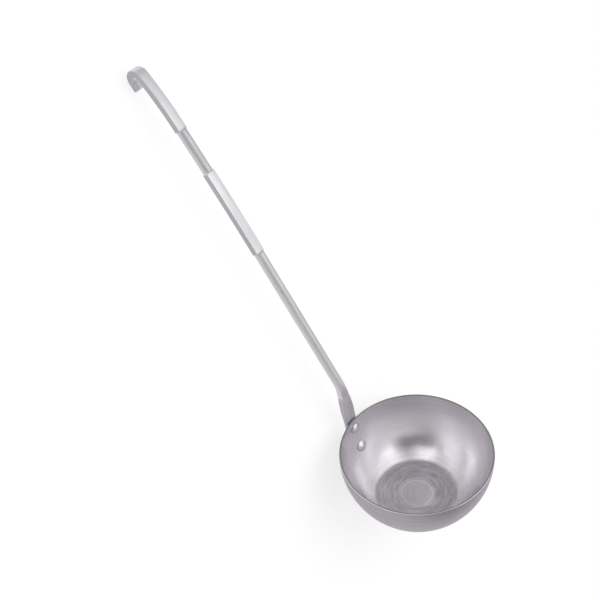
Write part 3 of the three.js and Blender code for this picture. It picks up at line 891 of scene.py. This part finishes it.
# %% [markdown]
# ## Where each point lay on the straight bar
# The scratches need every point's place before bending. For each run of the centre line a point
# is turned back into that run's own axes, and the run that it lies closest to is the right one.
# From its place along the bar a face also knows whether it was pressed or is still round rod.
# That is noted on the faces, because between points it would smear along the bar.

# %% Unbend the handle
def unbent(point):
    """Millimetres along, across and through the straight bar."""
    best = None
    for run, (length, turn) in RUNS.items():
        local = bar_frame(starts[run]).inverted() @ point
        if turn:
            bend = length / turn
            side = math.copysign(1.0, bend)
            along = math.atan2(local.z * side, (bend - local.y) * side) * bend
            through = bend - math.hypot(local.z, bend - local.y) * side
        else:
            along = local.z
            through = local.y
        past = max(0.0, -along, along - length)
        if best is None or past + abs(through) < best[0]:
            best = (past + abs(through), Vector((starts[run] + along, local.x, through)))
    return best[1]


from_table = ON_TABLE.inverted()
bar_places = handle.data.attributes.new(BAR_PLACE, "FLOAT_VECTOR", "POINT")
for vert in handle.data.vertices:
    bar_places.data[vert.index].vector = unbent(from_table @ vert.co)
print("bar places:", len(bar_places.data))

# %% Mark the round rod and the sides of the flats
ROD_STRETCHES = [(step_end, starts["grip"]), (starts["upper"], starts["flat"])]


def still_round(face):
    """Whether a face of the handle is round rod."""
    along = unbent(from_table @ face.center).x
    return any(start < along < end for start, end in ROD_STRETCHES)


on_rod = [still_round(face) for face in handle.data.polygons]
rod_marks = handle.data.attributes.new(AS_DRAWN, "FLOAT", "FACE")
for face in handle.data.polygons:
    rod_marks.data[face.index].value = 1.0 if on_rod[face.index] else 0.0
print("faces on round rod:", sum(on_rod))
side_marks = handle.data.attributes.new(SIDEWAYS, "FLOAT", "FACE")
for face in handle.data.polygons:
    looks_sideways = 0.0 if on_rod[face.index] else abs(face.normal.dot(across_axis))
    side_marks.data[face.index].value = looks_sideways
print("faces that look sideways:", sum(mark.value > SIDE_FULL for mark in side_marks.data))

# %% [markdown]
# ## Finish and hand over
# Curved metal is shaded smooth, and an edge that turns sharply stays crisp. Each piece then says
# which CAD node it stands for, which body it moves with and which finish it takes.

# %% Dress the pieces
SHARP = math.radians(38.0)
DRESSED = [
    (bowl, "bowl", "spun_bowl", spun_aluminium),
    (handle, "handle", "handle_rod", drawn_aluminium),
    (rivets["rivet_upper"], "rivet_upper", "rivets", hammered_aluminium),
    (rivets["rivet_lower"], "rivet_lower", "rivets", hammered_aluminium),
]
for piece, node, slot, finish in DRESSED:
    piece.data.materials.clear()
    piece.data.materials.append(finish)
    piece.data.shade_smooth()
    piece.data.set_sharp_from_angle(angle=SHARP)
    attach(piece, "root")
    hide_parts(node)
    print(piece.name, "stands for", node)

# %% [markdown]
# ## The floor
# A pale sheet of paper. It is a diffuse white that keeps the soft shadow. Where a camera or a
# mirror looks at it, half of its white is its own, so that it reads as a white background
# without more light on the metal.

# %% A pale floor
WHITE = (1.0, 1.0, 1.0, 1.0)
FLOOR_HALF = 4.0  # metres
FLOOR_WHITE = "fbfbfb"
FLOOR_OWN_WHITE = 0.5
FLOOR_OWN_STRENGTH = 1.31  # lifts the lit half up to white

paper, tree = new_finish("white_paper_floor")
seen = add_node(tree, "ShaderNodeLightPath")
camera_or_mirror = add_node(tree, "ShaderNodeMath", {
    0: seen.outputs["Is Camera Ray"], 1: seen.outputs["Is Glossy Ray"]}, operation="MAXIMUM")
any_seen = add_node(tree, "ShaderNodeMath", {
    0: camera_or_mirror.outputs[0], 1: seen.outputs["Is Transmission Ray"]}, operation="MAXIMUM")
own_share = add_node(tree, "ShaderNodeMath", {
    0: any_seen.outputs[0], 1: FLOOR_OWN_WHITE}, operation="MULTIPLY")
lit = add_node(tree, "ShaderNodeBsdfDiffuse", {"Color": linear(FLOOR_WHITE)})
own = add_node(tree, "ShaderNodeEmission", {"Color": WHITE, "Strength": FLOOR_OWN_STRENGTH})
both = add_node(tree, "ShaderNodeMixShader", {
    0: own_share.outputs[0], 1: lit.outputs[0], 2: own.outputs[0]})
add_node(tree, "ShaderNodeOutputMaterial", {"Surface": both.outputs[0]})

bm = bmesh.new()
bmesh.ops.create_grid(bm, x_segments=1, y_segments=1, size=FLOOR_HALF)
floor_mesh = bpy.data.meshes.new("floor")
bm.to_mesh(floor_mesh)
bm.free()
floor = bpy.data.objects.new("floor", floor_mesh)
floor.data.materials.append(paper)
bpy.context.scene.collection.objects.link(floor)
print("floor:", FLOOR_HALF * 2, "m wide")

# %% [markdown]
# ## The studio
# Metal shows the room that it stands in. This one is pale grey, lighter to two sides and darker
# to three. Two of the dark ones lie close together at the near side, as a camera and its stand
# would, and draw the dark streak in the bowl. One wide softbox hangs over the ladle and makes the
# bright flats. A tall narrow one at the near side puts the highlight on the bowl's wall, and a
# third one beyond the bowl lights the side of the rod.

# %% The room
ROOM_LIGHT = 0.57
ROOM_SIDES = [
    # direction, inner and outer angle in degrees, share of the room's light
    ((0.80, 0.05, 0.60), 15.0, 55.0, 1.15),
    ((-0.90, 0.35, 0.15), 15.0, 38.0, 0.50),
    ((0.19, 0.89, 0.42), 9.0, 17.0, 0.30),
    ((-0.02, 0.64, 0.77), 12.0, 23.0, 0.35),
    ((-0.75, -0.51, 0.42), 15.0, 45.0, 1.50),
]

world = bpy.data.worlds.new("grey_room")
bpy.context.scene.world = world
world.use_nodes = True
tree = world.node_tree
tree.nodes.clear()
direction = add_node(tree, "ShaderNodeTexCoord").outputs["Generated"]
light = add_node(tree, "ShaderNodeValue")
light.outputs[0].default_value = ROOM_LIGHT
level = light.outputs[0]
for way, inner, outer, share in ROOM_SIDES:
    facing = add_node(tree, "ShaderNodeVectorMath", {
        0: direction, 1: Vector(way).normalized()}, operation="DOT_PRODUCT")
    dimming = add_node(tree, "ShaderNodeMapRange", {
        "Value": facing.outputs["Value"],
        "From Min": math.cos(math.radians(outer)), "From Max": math.cos(math.radians(inner)),
        "To Min": 1.0, "To Max": share}, interpolation_type="SMOOTHSTEP")
    level = add_node(tree, "ShaderNodeMath", {
        0: level, 1: dimming.outputs[0]}, operation="MULTIPLY").outputs[0]
sky = add_node(tree, "ShaderNodeBackground", {"Color": WHITE, "Strength": level})
add_node(tree, "ShaderNodeOutputWorld", {"Surface": sky.outputs[0]})
print("room light:", ROOM_LIGHT)

# %% The softboxes
SOFTBOXES = {
    # place and aim in metres, width and height in metres, power in watts
    "softbox_over": ((0.00, -0.27, 1.00), (-0.03, 0.0, 0.03), 0.85, 1.05, 2.2),
    "softbox_near": ((0.46, 0.70, 0.58), (-0.17, 0.0, 0.06), 0.36, 0.66, 0.75),
    "softbox_left": ((-0.48, 0.84, 0.55), (0.0, 0.0, 0.03), 0.50, 0.50, 0.65),
}
for name, (place, aim, wide, tall, power) in SOFTBOXES.items():
    lamp = bpy.data.lights.new(name, "AREA")
    lamp.shape = "RECTANGLE"
    lamp.size = wide
    lamp.size_y = tall
    lamp.energy = power
    box = bpy.data.objects.new(name, lamp)
    box.location = place
    box.rotation_euler = (Vector(aim) - Vector(place)).to_track_quat("-Z", "Y").to_euler()
    box.visible_camera = False
    bpy.context.scene.collection.objects.link(box)
    print(name, power, "W")

# %% [markdown]
# ## The camera
# The picture was taken from above with the camera turned on its side, so that the handle runs
# from the top left to the bowl at the lower right.

# %% The camera
CAMERA_PLACE_MM = (262.241, 463.955, 666.458)
CAMERA_TURN_DEG = (6.6283, -39.7219, -129.6033)
LENS_MM = 65.9215
SENSOR_MM = 36.0
NEAREST_SEEN_MM = 10.0

lens = bpy.data.cameras.new("camera")
lens.lens = LENS_MM
lens.sensor_width = SENSOR_MM
lens.clip_start = NEAREST_SEEN_MM * MM
camera = bpy.data.objects.new("camera", lens)
camera.location = Vector(CAMERA_PLACE_MM) * MM
camera.rotation_euler = [math.radians(angle) for angle in CAMERA_TURN_DEG]
bpy.context.scene.collection.objects.link(camera)
bpy.context.scene.camera = camera
bpy.context.scene.view_settings.view_transform = "Standard"
print("camera at", [round(value, 3) for value in camera.location])
